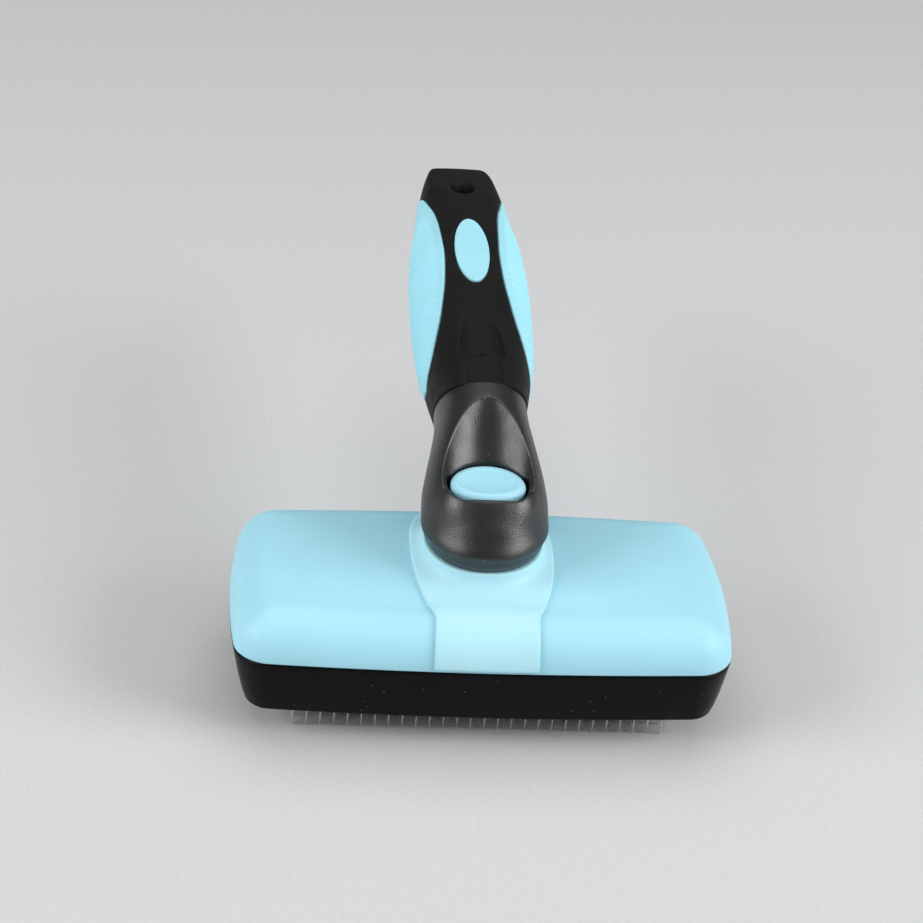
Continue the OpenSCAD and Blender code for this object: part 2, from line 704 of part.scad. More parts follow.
spring_z = crown_z + 0.05 + guide_flange_t + 0.05;
spring_top_z = button_z + spring_pocket - 0.05;

// One closed polyhedron: a square-section wire wound round the plunger
spring_steps = 20;
function spring_point(i, du, dz) =
    let (a = 360 * i / spring_steps, r = spring_r + du,
        rise = (spring_top_z - spring_z - spring_wire) * i / (spring_steps * spring_turns))
    [r * cos(a), r * sin(a), spring_z + spring_wire / 2 + rise + dz];
module return_spring() color(steel) placed() {
    h = spring_wire / 2;
    loft([for (i = [0:spring_steps * spring_turns])
        [spring_point(i, -h, -h), spring_point(i, -h, h), spring_point(i, h, h), spring_point(i, h, -h)]]);
}

// ---------- screws ----------

// Screw with a flat head below and a plain shank above, driven upwards
module screw_up(r, l, head_r, head_h) {
    difference() {
        union() {
            cylinder(h = l, r = r);
            translate([0, 0, -head_h]) cylinder(h = head_h, r = head_r);
        }
        for (a = [0, 90])
            rotate(a)
            translate([-head_r * 0.6, -0.25, -head_h - 0.5])
            cube([head_r * 1.2, 0.5, 1]);
    }
}

module frame_screws() color(steel) placed()
    for (p = screw_places)
        translate([p[0], p[1], shelf_z - 0.02]) screw_up(pilot_r, screw_l, screw_head_r, screw_head_h);

module neck_screws() color(steel) placed()
    for (p = neck_screw_places)
        translate([p[0], p[1], neck_seat_z - 0.02])
            screw_up(pilot_r, neck_screw_l, neck_screw_head_r, screw_head_h);

module carrier_screws() color(steel) placed()
    for (p = post_places)
        translate([p[0], p[1], carrier_screw_seat_z + 0.02])
            rotate([180, 0, 0])
            screw_up(carrier_screw_r, plate_screw_l - 1, carrier_screw_head_r, carrier_screw_head_h);

module push_rod_screw() color(steel) placed()
    translate([0, 0, rod_screw_seat_z - 0.02]) screw_up(pilot_r, 9, screw_head_r, screw_head_h);

module handle_screws() color(steel) placed()
    for (x = [-handle_screw_x, handle_screw_x])
        translate([x, handle_screw_y, handle_screw_z() - 0.02])
            screw_up(pilot_r, handle_screw_l, screw_head_r, 1.2);

top_cover();
neck_collar();
base_frame();
neck_shell();
button();
grip_sleeve();
left_grip_pad();
right_grip_pad();
handle_badge();
bristle_pins();
cushion_pad();
pin_board();
cleaning_plate();
carrier();
push_rod();
plunger_guide();
return_spring();
carrier_screws();
push_rod_screw();
frame_screws();
neck_screws();
handle_core();
handle_screws();
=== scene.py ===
"""Looks of the self-cleaning slicker brush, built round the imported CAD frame.

Shapes are worked out in millimetres, round the middle of the head on the plane of the pin tips, and each
piece is moved to the frame's own place when its mesh is made.
"""
import itertools
import math

import bpy
import numpy as np
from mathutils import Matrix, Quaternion, Vector


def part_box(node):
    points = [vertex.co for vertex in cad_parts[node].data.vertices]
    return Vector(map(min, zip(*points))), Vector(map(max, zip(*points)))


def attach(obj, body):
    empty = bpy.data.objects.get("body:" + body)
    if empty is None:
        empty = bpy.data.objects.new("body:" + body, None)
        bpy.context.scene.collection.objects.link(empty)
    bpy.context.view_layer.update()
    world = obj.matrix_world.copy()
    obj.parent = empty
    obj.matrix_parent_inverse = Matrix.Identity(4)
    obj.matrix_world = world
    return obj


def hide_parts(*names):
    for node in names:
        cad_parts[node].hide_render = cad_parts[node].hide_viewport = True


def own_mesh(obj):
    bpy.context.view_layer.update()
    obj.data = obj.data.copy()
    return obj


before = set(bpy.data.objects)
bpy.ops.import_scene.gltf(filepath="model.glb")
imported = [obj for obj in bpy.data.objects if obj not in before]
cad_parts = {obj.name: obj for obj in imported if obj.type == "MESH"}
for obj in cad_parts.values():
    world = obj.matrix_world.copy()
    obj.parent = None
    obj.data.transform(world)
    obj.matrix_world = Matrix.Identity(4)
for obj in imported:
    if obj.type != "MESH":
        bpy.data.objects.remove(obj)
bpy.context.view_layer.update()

MM = 0.001


def box_mm(node):
    """Lowest and highest corner of a CAD node in millimetres."""
    low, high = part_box(node)
    return np.array(low) / MM, np.array(high) / MM


COVER_LOW, COVER_HIGH = box_mm("top_cover")
FRAME_LOW, FRAME_HIGH = box_mm("base_frame")
SLEEVE_HIGH = box_mm("grip_sleeve")[1]
BADGE_LOW, BADGE_HIGH = box_mm("handle_badge")
BUTTON_LOW, BUTTON_HIGH = box_mm("button")
CUSHION_LOW, CUSHION_HIGH = box_mm("cushion_pad")
# The middle of the head in the frame
HEAD_Y = (COVER_LOW[1] + COVER_HIGH[1]) / 2


# ---------- curves and rounded joins ----------

def through(table, x):
    """Smooth curve through [position, value] pairs, constant past the ends."""
    t = np.array(table, float)
    before = np.vstack([t[:1], t[:-1]])
    after = np.vstack([t[1:], t[-1:]])
    slopes = (after[:, 1] - before[:, 1]) / (after[:, 0] - before[:, 0])
    x = np.clip(x, t[0, 0], t[-1, 0])
    i = np.clip(np.searchsorted(t[:, 0], x, side="right") - 1, 0, len(t) - 2)
    h = t[i + 1, 0] - t[i, 0]
    u = (x - t[i, 0]) / h
    return (
        t[i, 1] * (2 * u**3 - 3 * u**2 + 1)
        + t[i + 1, 1] * (3 * u**2 - 2 * u**3)
        + h * slopes[i] * (u**3 - 2 * u**2 + u)
        + h * slopes[i + 1] * (u**3 - u**2)
    )


def both(a, b, r):
    """Inside both fields, with the edge between them rounded to about r."""
    h = np.maximum(r - np.abs(a - b), 0) / r
    return np.maximum(a, b) + h * h * r / 4


def either(a, b, r):
    """Inside either field, with the corner between them filled to about r."""
    return -both(-a, -b, r)


def without(a, b, r):
    """Inside a and outside b, with the edge rounded to about r."""
    return both(a, -b, r)


def smooth_step(x, low, high):
    u = np.clip((x - low) / (high - low), 0, 1)
    return u * u * (3 - 2 * u)


# ---------- meshes from fields ----------

class Grid:
    """Regular sample points of a box, in millimetres."""

    def __init__(self, low, high, step):
        self.low = np.array(low, float)
        self.step = step
        axes = [np.arange(a, b + step, step) for a, b in zip(low, high)]
        self.x = axes[0][:, None, None]
        self.y = axes[1][None, :, None]
        self.z = axes[2][None, None, :]
        self.shape = tuple(len(a) for a in axes)

    def spread(self, field):
        return np.broadcast_to(field, self.shape)

    def distance(self, field):
        """A field turned into millimetres: divided by its own steepness."""
        field = self.spread(field)
        gx, gy, gz = np.gradient(field, self.step)
        return field / np.sqrt(gx**2 + gy**2 + gz**2 + 1e-6)


def sample(field, at):
    """Trilinear values of a sampled field at fractional grid positions."""
    base = np.clip(np.floor(at).astype(int), 0, np.array(field.shape) - 2)
    part = at - base
    value = np.zeros(len(at))
    for corner in itertools.product((0, 1), repeat=3):
        weight = np.ones(len(at))
        for axis in range(3):
            weight *= part[:, axis] if corner[axis] else 1 - part[:, axis]
        value += weight * field[tuple((base + corner).T)]
    return value


def settle(field, at):
    """Moves fractional grid positions onto the field's zero surface."""
    slopes = np.gradient(field)
    for _ in range(2):
        value = sample(field, at)
        slope = np.stack([sample(s, at) for s in slopes], 1)
        step = -value[:, None] * slope / (np.sum(slope**2, 1)[:, None] + 1e-9)
        at = at + np.clip(step, -0.4, 0.4)
    return at


def surface_net(grid, field):
    """Quads of the surface where the field is zero. The field is negative inside."""
    field = np.array(grid.spread(field), float)
    inside = field < 0
    cells = tuple(n - 1 for n in field.shape)
    count = np.zeros(cells, int)
    for c in itertools.product((0, 1), repeat=3):
        count += inside[c[0]:c[0] + cells[0], c[1]:c[1] + cells[1], c[2]:c[2] + cells[2]]
    cell = np.argwhere((count > 0) & (count < 8))
    index = np.full(cells, -1)
    index[tuple(cell.T)] = np.arange(len(cell))
    total = np.zeros((len(cell), 3))
    hits = np.zeros(len(cell))
    for axis in range(3):
        others = [a for a in range(3) if a != axis]
        for c in itertools.product((0, 1), repeat=2):
            start = np.zeros(3, int)
            start[others] = c
            end = start.copy()
            end[axis] = 1
            a = field[tuple((cell + start).T)]
            b = field[tuple((cell + end).T)]
            crosses = (a < 0) != (b < 0)
            t = np.where(crosses, a / np.where(crosses, a - b, 1), 0)
            point = start + t[:, None] * (end - start)
            total += point * crosses[:, None]
            hits += crosses
    at = settle(field, cell + total / hits[:, None])
    quads = []
    for axis in range(3):
        u, v = (axis + 1) % 3, (axis + 2) % 3
        first = [slice(None)] * 3
        last = [slice(None)] * 3
        first[axis] = slice(0, -1)
        last[axis] = slice(1, None)
        change = inside[tuple(first)] != inside[tuple(last)]
        edge = np.argwhere(change)
        keep = (edge[:, u] > 0) & (edge[:, v] > 0)
        keep &= (edge[:, u] < cells[u]) & (edge[:, v] < cells[v])
        edge = edge[keep]
        out = inside[tuple(edge.T)]
        ring = []
        for du, dv in ((-1, -1), (0, -1), (0, 0), (-1, 0)):
            c = edge.copy()
            c[:, u] += du
            c[:, v] += dv
            ring.append(index[tuple(c.T)])
        ring = np.stack(ring, 1)
        ring[~out] = ring[~out][:, ::-1]
        quads.append(ring)
    return grid.low + at * grid.step, np.vstack(quads)


# ---------- meshes from rings ----------

def loft(rings, close_start=True, close_end=True, ring_closed=False):
    """Quads through rings of points, with flat ends where they are asked for."""
    rings = np.array(rings, float)
    m, n = rings.shape[:2]
    faces = []
    for k in range(m if ring_closed else m - 1):
        a = k * n + np.arange(n)
        b = ((k + 1) % m) * n + np.arange(n)
        faces += np.stack([a, np.roll(a, -1), np.roll(b, -1), b], 1).tolist()
    if not ring_closed and close_start:
        faces.append(list(range(n))[::-1])
    if not ring_closed and close_end:
        faces.append([(m - 1) * n + j for j in range(n)])
    return rings.reshape(-1, 3), faces


def make_piece(name, points, faces, material, body, nodes=(), smooth=True):
    """A mesh object from points round the head's middle, riding on a body."""
    mesh = bpy.data.meshes.new(name)
    points = (np.array(points) + [0, HEAD_Y, 0]) * MM
    if isinstance(faces, np.ndarray):
        mesh.vertices.add(len(points))
        mesh.vertices.foreach_set("co", points.astype(np.float32).ravel())
        mesh.loops.add(faces.size)
        mesh.loops.foreach_set("vertex_index", faces.astype(np.int32).ravel())
        mesh.polygons.add(len(faces))
        mesh.polygons.foreach_set("loop_start", np.arange(0, faces.size, 4, dtype=np.int32))
        mesh.update(calc_edges=True)
    else:
        mesh.from_pydata(points.tolist(), [], faces)
    mesh.validate()
    mesh.polygons.foreach_set("use_smooth", [smooth] * len(mesh.polygons))
    mesh.materials.append(material)
    piece = bpy.data.objects.new(name, mesh)
    bpy.context.scene.collection.objects.link(piece)
    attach(piece, body)
    if nodes:
        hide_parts(*nodes)
    return piece


# ---------- materials ----------

def new_material(name):
    material = bpy.data.materials.new(name)
    material.use_nodes = True
    return material, material.node_tree, material.node_tree.nodes["Principled BSDF"]


def node(tree, kind, **values):
    made = tree.nodes.new(kind)
    for key, value in values.items():
        if key in made.inputs:
            made.inputs[key].default_value = value
        else:
            setattr(made, key, value)
    return made


def ramp(tree, source, low, high, low_at=0.0, high_at=1.0):
    """Maps a texture's value onto two greys or colours."""
    made = node(tree, "ShaderNodeValToRGB")
    for element, at, colour in zip(made.color_ramp.elements, (low_at, high_at), (low, high)):
        element.position = at
        element.color = tuple(colour) + (1,) if hasattr(colour, "__len__") else (colour,) * 3 + (1,)
    tree.links.new(source, made.inputs["Fac"])
    return made.outputs["Color"]


def moulded(name, colour, roughness, grain_mm, grain_depth_mm, tint=0.04, specular=0.5, specks=0.0, coat=0.0):
    """Moulded plastic or rubber: fine grain, faint colour drift, uneven gloss, a few dust specks."""
    material, tree, surface = new_material(name)
    place = node(tree, "ShaderNodeTexCoord").outputs["Object"]
    drift = node(tree, "ShaderNodeTexNoise", Scale=1 / (14 * MM), Detail=3.0)
    grain = node(tree, "ShaderNodeTexNoise", Scale=1 / (grain_mm * MM), Detail=2.0, Roughness=0.6)
    cells = node(tree, "ShaderNodeTexVoronoi", Scale=1 / (grain_mm * 1.4 * MM))
    smears = node(tree, "ShaderNodeTexNoise", Scale=1 / (5 * MM), Detail=4.0, Distortion=0.6)
    for texture in (drift, grain, cells, smears):
        tree.links.new(place, texture.inputs["Vector"])
    c = np.array(colour)
    tone = ramp(tree, drift.outputs["Fac"], c * (1 - tint), np.minimum(c * (1 + tint), 1), 0.3, 0.7)
    if specks:
        dust = node(tree, "ShaderNodeTexVoronoi", Scale=1 / (2.6 * MM), Randomness=1.0)
        tree.links.new(place, dust.inputs["Vector"])
        dot = ramp(tree, dust.outputs["Distance"], 1.0, 0.0, 0.035, 0.06)
        mix = node(tree, "ShaderNodeMix", data_type="RGBA")
        amount = node(tree, "ShaderNodeMath", operation="MULTIPLY")
        amount.inputs[1].default_value = specks
        tree.links.new(dot, amount.inputs[0])
        tree.links.new(amount.outputs[0], mix.inputs["Factor"])
        tree.links.new(tone, mix.inputs[6])
        mix.inputs[7].default_value = (0.55, 0.55, 0.55, 1)
        tone = mix.outputs[2]
    tree.links.new(tone, surface.inputs["Base Color"])
    gloss = ramp(tree, smears.outputs["Fac"], roughness * 0.88, min(roughness * 1.12, 1), 0.3, 0.75)
    tree.links.new(gloss, surface.inputs["Roughness"])
    height = node(tree, "ShaderNodeMath", operation="ADD")
    tree.links.new(grain.outputs["Fac"], height.inputs[0])
    tree.links.new(cells.outputs["Distance"], height.inputs[1])
    bump = node(tree, "ShaderNodeBump", Strength=1.0, Distance=grain_depth_mm * MM)
    tree.links.new(height.outputs[0], bump.inputs["Height"])
    tree.links.new(bump.outputs["Normal"], surface.inputs["Normal"])
    surface.inputs["Specular IOR Level"].default_value = specular
    surface.inputs["Coat Weight"].default_value = coat
    surface.inputs["Coat Roughness"].default_value = 0.25
    return material


def metal(name, colour, roughness, line_mm):
    """Drawn or plated steel: fine streaks along z and uneven gloss."""
    material, tree, surface = new_material(name)
    place = node(tree, "ShaderNodeTexCoord").outputs["Object"]
    stretch = node(tree, "ShaderNodeMapping")
    stretch.inputs["Scale"].default_value = (1, 1, 0.12)
    streaks = node(tree, "ShaderNodeTexNoise", Scale=1 / (line_mm * MM), Detail=3.0)
    tree.links.new(place, stretch.inputs["Vector"])
    tree.links.new(stretch.outputs["Vector"], streaks.inputs["Vector"])
    c = np.array(colour)
    tree.links.new(ramp(tree, streaks.outputs["Fac"], c * 0.9, c, 0.3, 0.7), surface.inputs["Base Color"])
    gloss = ramp(tree, streaks.outputs["Fac"], roughness * 0.8, roughness * 1.3, 0.3, 0.7)
    tree.links.new(gloss, surface.inputs["Roughness"])
    bump = node(tree, "ShaderNodeBump", Strength=0.4, Distance=0.01 * MM)
    tree.links.new(streaks.outputs["Fac"], bump.inputs["Height"])
    tree.links.new(bump.outputs["Normal"], surface.inputs["Normal"])
    surface.inputs["Metallic"].default_value = 1.0
    return material


CYAN = (0.375, 0.725, 0.85)
cyan_plastic = moulded("cyan_plastic", CYAN, 0.48, 0.28, 0.004, tint=0.015, specular=0.4)
# The collar's cyan is painted lighter than the cover's: painted light standing in for front light on its
# front-facing surfaces.
collar_lit_cyan = moulded("collar_lit_cyan", (0.455, 0.79, 0.89), 0.48, 0.28, 0.004, tint=0.015, specular=0.4)
button_plastic = moulded("button_plastic", CYAN, 0.42, 0.28, 0.003, tint=0.015, specular=0.45)
cyan_rubber = moulded("cyan_rubber", (0.37, 0.755, 0.87), 0.62, 0.3, 0.006, tint=0.02, specular=0.3)
satin_black = moulded("satin_black", (0.005, 0.005, 0.0054), 0.38, 0.24, 0.028,
                      tint=0.15, specular=0.85, specks=0.35)
frame_black = moulded("frame_black", (0.003, 0.003, 0.004), 0.3, 0.4, 0.002,
                      tint=0.15, specular=0.1, specks=0.3)
soft_black = moulded("soft_black", (0.0085, 0.0085, 0.009), 0.6, 0.25, 0.012,
                     tint=0.12, specular=0.12, specks=0.12)
cushion_black = moulded("cushion_black", (0.02, 0.02, 0.021), 0.7, 0.3, 0.010, specular=0.3)
dark_plastic = moulded("dark_plastic", (0.04, 0.04, 0.045), 0.5, 0.3, 0.006)
plate_black = moulded("plate_black", (0.012, 0.012, 0.014), 0.38, 0.35, 0.003, specular=0.5)
natural_plastic = moulded("natural_plastic", (0.75, 0.75, 0.70), 0.45, 0.5, 0.003)
pin_steel = metal("pin_steel", (0.80, 0.81, 0.83), 0.24, 0.08)
spring_steel = metal("spring_steel", (0.62, 0.63, 0.66), 0.3, 0.1)
screw_steel = metal("screw_steel", (0.6, 0.6, 0.62), 0.32, 0.15)


# ---------- the head ----------

CORNER_R = 7.1
LONG_BOW = 1.9
SHORT_BOW = 2.4
HEAD_W = COVER_HIGH[0] - COVER_LOW[0]
HEAD_D = COVER_HIGH[1] - COVER_LOW[1]
PARTING_Z = FRAME_HIGH[2] + 0.02
CROWN_Z = COVER_HIGH[2]
CROWN = 1.7
COVER_TOP_Z = CROWN_Z - CROWN
EDGE_R = 9.3
RIM_Z = FRAME_LOW[2]
TAPER = 2.4
WALL = 2.0
CORNER_STEPS = 14
EDGE_STEPS = 30


def head_outline(inset):
    """Bowed rounded rectangle, anticlockwise seen from above."""
    a = HEAD_W / 2 - SHORT_BOW - inset
    b = HEAD_D / 2 - LONG_BOW - inset
    r = max(1.2, CORNER_R - inset)
    centres = [(a - r, b - r), (r - a, b - r), (r - a, r - b), (a - r, r - b)]
    points = []
    for q in range(4):
        for i in range(CORNER_STEPS + 1):
            angle = math.pi / 2 * (q + i / CORNER_STEPS)
            points.append((centres[q][0] + r * math.cos(angle), centres[q][1] + r * math.sin(angle)))
        angle = math.pi / 2 * (q + 1)
        last = np.array(points[-1])
        following = centres[(q + 1) % 4]
        ahead = np.array((following[0] + r * math.cos(angle), following[1] + r * math.sin(angle)))
        for i in range(1, EDGE_STEPS):
            points.append(tuple(last + (ahead - last) * i / EDGE_STEPS))
    p = np.array(points)
    across = np.maximum(0, 1 - (p[:, 1] / b) ** 2)
    along = np.maximum(0, 1 - (p[:, 0] / a) ** 2)
    return np.stack([p[:, 0] + SHORT_BOW * across * p[:, 0] / a, p[:, 1] + LONG_BOW * along * p[:, 1] / b], 1)


def head_ring(inset, z, shrink=1.0):
    p = head_outline(inset) * shrink
    return np.column_stack([p, np.full(len(p), z)])


def crown_ring(inset, shrink):
    """Ring of the crowned top: a smooth dome that is level along the head's rounded edge."""
    p = head_outline(EDGE_R) * shrink
    reach = np.abs(head_outline(EDGE_R)).max(axis=0)
    dome = np.prod(1 - (p / reach) ** 2, axis=1) * (1 - shrink**8)
    return np.column_stack([p, COVER_TOP_Z - inset + CROWN * dome])


def cover_rings(inset, floor_z):
    """Rings of the cover's surface moved inwards, from its open edge to the middle of its crown."""
    r = EDGE_R - inset
    z0 = COVER_TOP_Z - EDGE_R
    rings = [head_ring(inset, z) for z in np.linspace(floor_z, z0, 5)]
    rings += [head_ring(inset + r * (1 - math.cos(a)), z0 + r * math.sin(a))
              for a in np.linspace(0, math.pi / 2, 22)[1:]]
    rings += [crown_ring(inset, s) for s in np.linspace(1, 0.01, 30)[1:]]
    return rings


def build_cover():
    """The cyan cover: a shell with a softened lower lip."""
    inner = cover_rings(WALL, PARTING_Z + 0.02)
    lip = [head_ring(0.35, PARTING_Z + 0.02), head_ring(0.1, PARTING_Z + 0.12)]
    points, faces = loft(inner[::-1] + lip + cover_rings(0, PARTING_Z + 0.4))
    return make_piece("head_cover", points, faces, cyan_plastic, "brush", ["top_cover"])


def build_frame():
    """The black frame: a tapered wall with a rounded rim and a rebate for the plate."""
    inset = 4.3
    r = 1.3
    top = PARTING_Z - 0.05
    rim = [(TAPER + 0.15 + r * (1 - math.cos(a)), RIM_Z + r * (1 - math.sin(a)))
           for a in np.linspace(math.pi / 2, 0, 8)]
    wall = [(TAPER * (1 - u) - 0.18 * math.sin(math.pi * u), RIM_Z + r + (top - 0.4 - RIM_Z - r) * u)
            for u in np.linspace(0.08, 1, 10)]
    lip = [(0.12, top - 0.12), (0.35, top)]
    inside = [(WALL, top), (WALL + 0.1, top - 4), (inset - 0.2, 14.0), (inset, 12.5), (inset, RIM_Z + 1.2),
              (inset - 0.1, RIM_Z + 0.5), (inset - 0.4, RIM_Z + 0.1), (inset - 0.7, RIM_Z)]
    points, faces = loft([head_ring(i, z) for i, z in rim + wall + lip + inside], ring_closed=True)
    return make_piece("head_frame", points, faces, frame_black, "brush", ["base_frame"])


head_cover = build_cover()
head_frame = build_frame()


# ---------- the handle's surface ----------

END_Y = SLEEVE_HIGH[1] - HEAD_Y
AXIS_Z = 53.6
AXIS_RISE = math.tan(math.radians(5))
# Half width, and height above and below the middle line: [distance from the head's middle, value]
HALF_WIDTHS = [[33, 11.1], [44, 12.7], [58, 13.8], [72, 14.4], [87, 14.5], [100, 14.1], [113, 13.1],
               [126, 12.0], [140, 10.2], [149, 8.3], [END_Y, 7.2]]
UPPER = [[33, 14], [60, 14.1], [87, 14], [100, 13.2], [112, 11.8], [120, 10.9], [136, 9.8], [149, 8.1],
         [END_Y, 7.4]]
LOWER = [[33, 14], [60, 13], [87, 13.4], [108, 11.6], [122, 8.4], [134, 5.8], [149, 3.9], [END_Y, 3.2]]
# How far the sections lean back, as a share of their height
SLANTS = [[33, 0.73], [45, 0.45], [60, 0], [END_Y, 0]]
HANDLE_POWER = 2.3
RUBBER = 2.6
FRONT_STATION = 33
FACET_FRONT = (121.3, 72.2)
FACET_HOLLOW = -0.4
FACET_END_Z = 67
# The hang hole's mouth, the height over which it narrows, and the bore under it
HANG_MIDDLE_Y = 129.5
HANG_HALF_L = 6.4
HANG_TOP_Z = 71.5
HANG_FLARE_H = 7
HANG_BORE_Y = 130
HANG_R = 3.1
CORE_END_Y = 121.3


def middle_z(y):
    return AXIS_Z + (y - 30) * AXIS_RISE


class Handle:
    """The handle's own coordinates at every point of a grid."""

    def __init__(self, grid):
        y, z = grid.y, grid.z
        station = y + 0 * z
        for _ in range(6):
            station = y + (z - middle_z(station)) * through(SLANTS, station)
        self.station = station
        self.up = z - middle_z(station)
        self.half_width = through(HALF_WIDTHS, station)
        self.height = np.where(self.up > 0, through(UPPER, station), through(LOWER, station))
        self.x = np.abs(grid.x)
        share_x = self.x / self.half_width
        share_up = np.abs(self.up) / self.height
        power = HANDLE_POWER
        self.skin = grid.distance((share_x**power + share_up**power) ** (1 / power) - 1)
        half = power / 2
        self.angle = np.degrees(np.arctan2(np.sign(self.up) * share_up**half, share_x**half))


PAD_END_Y = 132.6
PAD_FRONT_Y = 42.3
# Leaf outline: [distance from the head's middle, half angle round the handle's section]
PAD_HALF_ANGLES = [[PAD_FRONT_Y, 2], [45, 20.5], [48.5, 33.5], [56, 49], [63, 56], [72, 61.5], [84, 64],
                   [92, 63], [104, 58.8], [113, 52.5], [120, 43.5], [127, 30.5], [131, 17], [PAD_END_Y, 2]]
PAD_DEPTH = 1.7
PAD_PROUD = 0.25
MM_PER_DEGREE = 0.25
RIB_PITCH = 3.0
RIB_DEPTH = 1.0


def leaf(grid, handle):
    """Distance to the pads' leaf-shaped outline, negative inside."""
    s = handle.station
    past = np.maximum(PAD_FRONT_Y - s, 0) + np.maximum(s - PAD_END_Y, 0)
    half_angle = through(PAD_HALF_ANGLES, s) - 8 * past
    return grid.distance((np.abs(handle.angle) - half_angle) * MM_PER_DEGREE)


BADGE_SLOPE = math.tan(math.radians(2.5))
BADGE_T = 1.5


def badge_field(grid):
    """Distance to the badge's oval outline seen from above, negative inside."""
    middle = (BADGE_LOW[1] + BADGE_HIGH[1]) / 2 - HEAD_Y
    half_w = (BADGE_HIGH[0] - BADGE_LOW[0]) / 2
    half_l = (BADGE_HIGH[1] - BADGE_LOW[1]) / 2
    across = np.abs(grid.x) / half_w
    along = np.abs(grid.y - middle) / half_l
    shape = np.sqrt(across**2 + along**2 + 1e-9) - 1 + 0 * grid.z
    return grid.distance(shape), middle, half_w, half_l


RECESS_Y = 36
RECESS_DEPTH = 1.65
# D-shaped outline of the recess: [distance from its straight front edge, half width]
RECESS_WIDTHS = [[0, 5.6], [5, 5.1], [10, 4.5], [14, 3.6], [16.8, 2.0], [18, 0.3], [19, -1.5]]
# The bevel behind the recess, in the same way
BEVEL_WIDTHS = [[0, 5.7], [5, 5.4], [9, 5.5], [13, 5.5], [16, 5.1], [19, 4.1], [21.3, 2.4], [22.6, 0.4],
                [23.6, -1.5]]
BEVEL_SLOPE = 0.48
BEVEL_REACH = 2.3


def outline_field(grid, widths):
    """Plan distance to a mirror-symmetric outline that starts at the recess's front edge."""
    return np.abs(grid.x) - through(widths, grid.y - RECESS_Y)


def recess_field(grid):
    """The D-shaped recess, with a bevel behind its arched end. Negative inside."""
    skin_z = middle_z(grid.y) + through(UPPER, grid.y)
    depth = RECESS_DEPTH * smooth_step(grid.y, RECESS_Y - 0.6, RECESS_Y + 2.5)
    floor = both(outline_field(grid, RECESS_WIDTHS), skin_z - depth - grid.z, 0.35)
    rim = outline_field(grid, BEVEL_WIDTHS)
    bevel = both(rim, skin_z + 0.05 - BEVEL_SLOPE * np.clip(-rim, 0, BEVEL_REACH) - grid.z, 0.3)
    return floor, bevel


def hang_field(grid):
    """The hang hole: a long oval at the top that narrows forwards and backwards to a round bore below."""
    sink = np.clip((HANG_TOP_Z - grid.z) / HANG_FLARE_H, 0, 1)
    half = HANG_HALF_L + (HANG_R - HANG_HALF_L) * sink
    middle = HANG_MIDDLE_Y + (HANG_BORE_Y - HANG_MIDDLE_Y) * sink
    return np.sqrt((grid.x / HANG_R) ** 2 + ((grid.y - middle) / half) ** 2 + 1e-9) - 1


HANDLE_SCREW_X = 5
HANDLE_SCREW_Y = 46.8
HANDLE_SCREW_ACCESS_R = 2.5
HANDLE_SCREW_ACCESS_TOP_Z = 46


def screw_access(grid):
    """Two upright holes under the handle screws."""
    across = np.hypot(np.abs(grid.x) - HANDLE_SCREW_X, grid.y - HANDLE_SCREW_Y) - HANDLE_SCREW_ACCESS_R
    return both(across, grid.z - HANDLE_SCREW_ACCESS_TOP_Z, 0.2)


def build_sleeve():
    """The black rubber sleeve, with its pockets, D-shaped recess, sloping end facet and hang hole."""
    grid = Grid([-16.5, 19, 38], [16.5, END_Y + 1, 78], 0.4)
    handle = Handle(grid)
    body = both(handle.skin, FRONT_STATION - handle.station, 0.35)
    body = both(body, grid.y - END_Y, 1.0)
    facet_slope = (FACET_END_Z - FACET_FRONT[1]) / (END_Y - FACET_FRONT[0])
    hollow = FACET_HOLLOW * (1 - (grid.x / 9) ** 2)
    facet_z = FACET_FRONT[1] + (grid.y - FACET_FRONT[0]) * facet_slope - hollow
    facet = (grid.z - facet_z) / math.hypot(1, facet_slope)
    body = both(body, facet, 0.3)
    leaf_edge = leaf(grid, handle)
    pocket = both(leaf_edge - 0.12, -(handle.skin + PAD_DEPTH + 0.1), 0.2)
    body = without(body, pocket, 0.45)
    oval, _, _, _ = badge_field(grid)
    badge_floor = BADGE_LOW[2] + (grid.y - (BADGE_LOW[1] - HEAD_Y)) * BADGE_SLOPE - 0.05
    body = without(body, both(oval - 0.14, badge_floor - grid.z, 0.2), 0.4)
    floor, bevel = recess_field(grid)
    body = without(body, bevel, 0.8)
    body = without(body, floor, 0.35)
    body = without(body, grid.distance(hang_field(grid)), 0.9)
    cavity = both(handle.skin + RUBBER, handle.station - CORE_END_Y, 0.3)
    body = without(body, cavity, 0.2)
    body = without(body, screw_access(grid), 0.2)
    points, faces = surface_net(grid, body)
    return make_piece("rubber_sleeve", points, faces, soft_black, "brush", ["grip_sleeve"])


def build_pad(side, name, node_name):
    """One ribbed cyan pad, set in its pocket."""
    grid = Grid([5.0, 40, 40], [16, 135, 80], 0.23)
    handle = Handle(grid)
    edge = leaf(grid, handle)
    wave = (0.5 + 0.5 * np.cos(2 * math.pi * grid.y / RIB_PITCH)) ** 1.4
    strip = smooth_step(-edge, 1.3, 3.2)
    ends = smooth_step(grid.y, 44, 52) * (1 - smooth_step(grid.y, 104, 120))
    top = PAD_PROUD + RIB_DEPTH * strip * ends * (wave - 0.55)
    body = both(handle.skin - top, -(handle.skin + PAD_DEPTH), 0.2)
    body = both(body, edge, 0.45)
    points, faces = surface_net(grid, body)
    if side < 0:
        points = points * [-1, 1, 1]
        faces = faces[:, ::-1]
    return make_piece(name, points, faces, cyan_rubber, "brush", [node_name])


